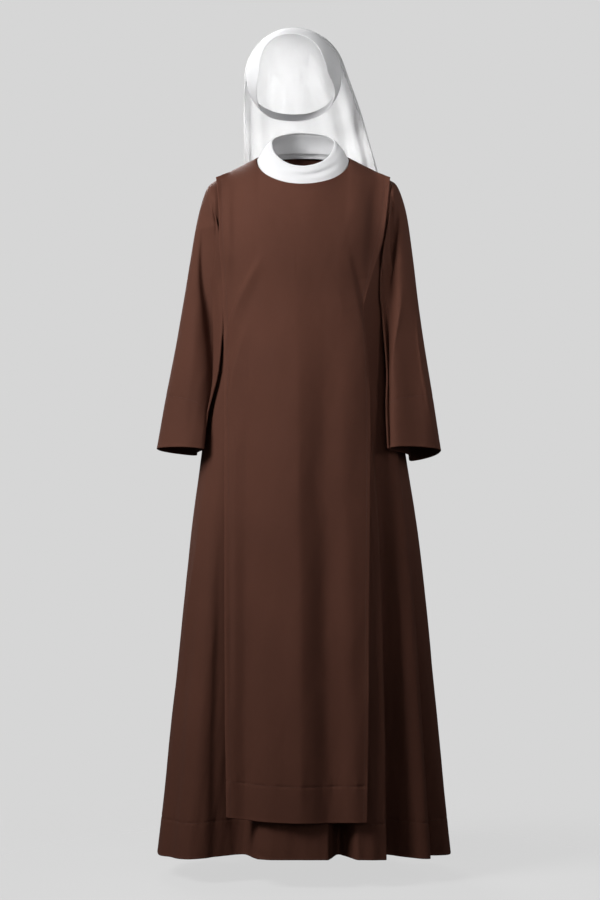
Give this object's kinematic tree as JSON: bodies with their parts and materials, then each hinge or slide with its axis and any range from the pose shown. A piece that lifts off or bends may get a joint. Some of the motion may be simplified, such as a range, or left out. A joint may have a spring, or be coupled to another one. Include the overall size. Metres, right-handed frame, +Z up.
{
  "type": "religious habit",
  "caption": "Worn-shape religious habit: long flared brown tunic with open sleeves, a loose scapular panel front and back, a white collar band, a white coif and a shoulder-length white veil.",
  "frame": {"origin": "middle of the shoulder line, on the neck's axis, where the wearer's shoulders carry the habit", "axes": "+Z up, the front of the habit faces -Y, +X is the wearer's left"},
  "size_m": [0.5791, 0.457, 1.6297],
  "materials": {
    "tunic_cloth": "fine smooth weave, matt with a soft sheen",
    "scapular_cloth": "fine smooth weave, matt with a soft sheen",
    "collar_cloth": "smooth white cloth, folded and pressed",
    "veil_cloth": "light white cloth, matt"
  },
  "bodies": {
    "root": {"tunic_front": "tunic_cloth", "tunic_back": "tunic_cloth", "sleeve_left": "tunic_cloth", "sleeve_right": "tunic_cloth", "scapular_front": "scapular_cloth", "scapular_back": "scapular_cloth", "collar_band": "collar_cloth", "coif": "veil_cloth", "veil": "veil_cloth"}
  },
  "joints": []
}
